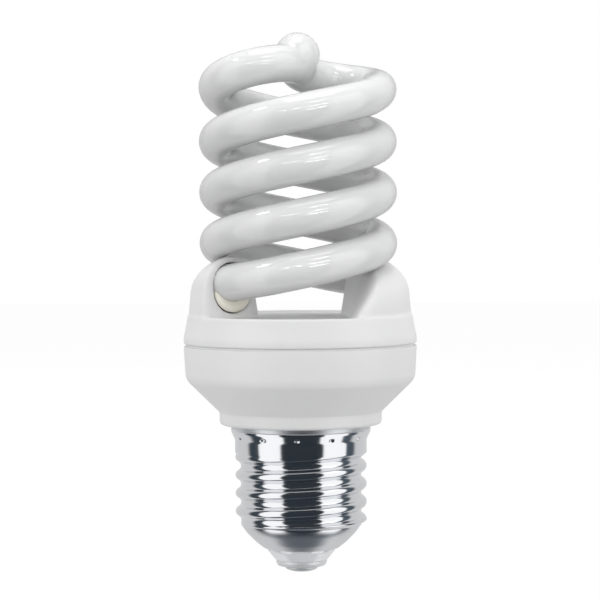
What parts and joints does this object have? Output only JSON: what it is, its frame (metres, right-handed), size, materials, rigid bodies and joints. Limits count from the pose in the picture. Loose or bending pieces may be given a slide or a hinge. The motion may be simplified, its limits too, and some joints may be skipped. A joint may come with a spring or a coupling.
{
  "type": "spiral compact fluorescent bulb",
  "caption": "Spiral compact fluorescent bulb: a white double-helix glass tube on a white plastic ballast housing with a metal E27 screw cap.",
  "frame": {"origin": "tip of the centre contact, on the bulb's axis", "axes": "+Z from the screw cap towards the glass, along the bulb's axis; -Y is the front, where the left tube end enters its shoulder"},
  "size_m": [0.0466, 0.0466, 0.1078],
  "materials": {
    "phosphor_glass": "gloss",
    "cement": "matt",
    "housing_plastic": "satin",
    "cap_metal": "bright",
    "insulator": "satin",
    "contact_metal": "satin",
    "solder": "satin",
    "board": "satin",
    "capacitor_sleeve": "gloss",
    "ferrite": "matt",
    "bobbin": "matt",
    "copper_wire": "gloss",
    "black_epoxy": "matt",
    "red_epoxy": "gloss",
    "resistor_body": "satin",
    "diac_glass": "gloss",
    "fuse_body": "matt",
    "tinned_wire": "bright",
    "live_sleeve": "satin",
    "neutral_sleeve": "satin"
  },
  "bodies": {
    "root": {"discharge_tube": "phosphor_glass", "tube_cement_left": "cement", "tube_cement_right": "cement", "upper_housing": "housing_plastic", "lower_housing": "housing_plastic", "screw_cap_shell": "cap_metal", "cap_insulator": "insulator", "centre_contact": "contact_metal", "contact_solder": "solder", "circuit_board": "board", "bulk_capacitor": "capacitor_sleeve", "choke_core": "ferrite", "choke_bobbin": "bobbin", "choke_winding": "copper_wire", "drive_toroid": "ferrite", "toroid_windings": "copper_wire", "transistor_a": "black_epoxy", "transistor_b": "black_epoxy", "resonance_capacitor": "red_epoxy", "start_capacitor": "red_epoxy", "rectifier_diodes": "black_epoxy", "resistors": "resistor_body", "trigger_diac": "diac_glass", "fuse_resistor": "fuse_body", "wrap_pins": "tinned_wire", "filament_leads": "tinned_wire", "live_wire": "live_sleeve", "neutral_wire": "neutral_sleeve"}
  },
  "joints": []
}
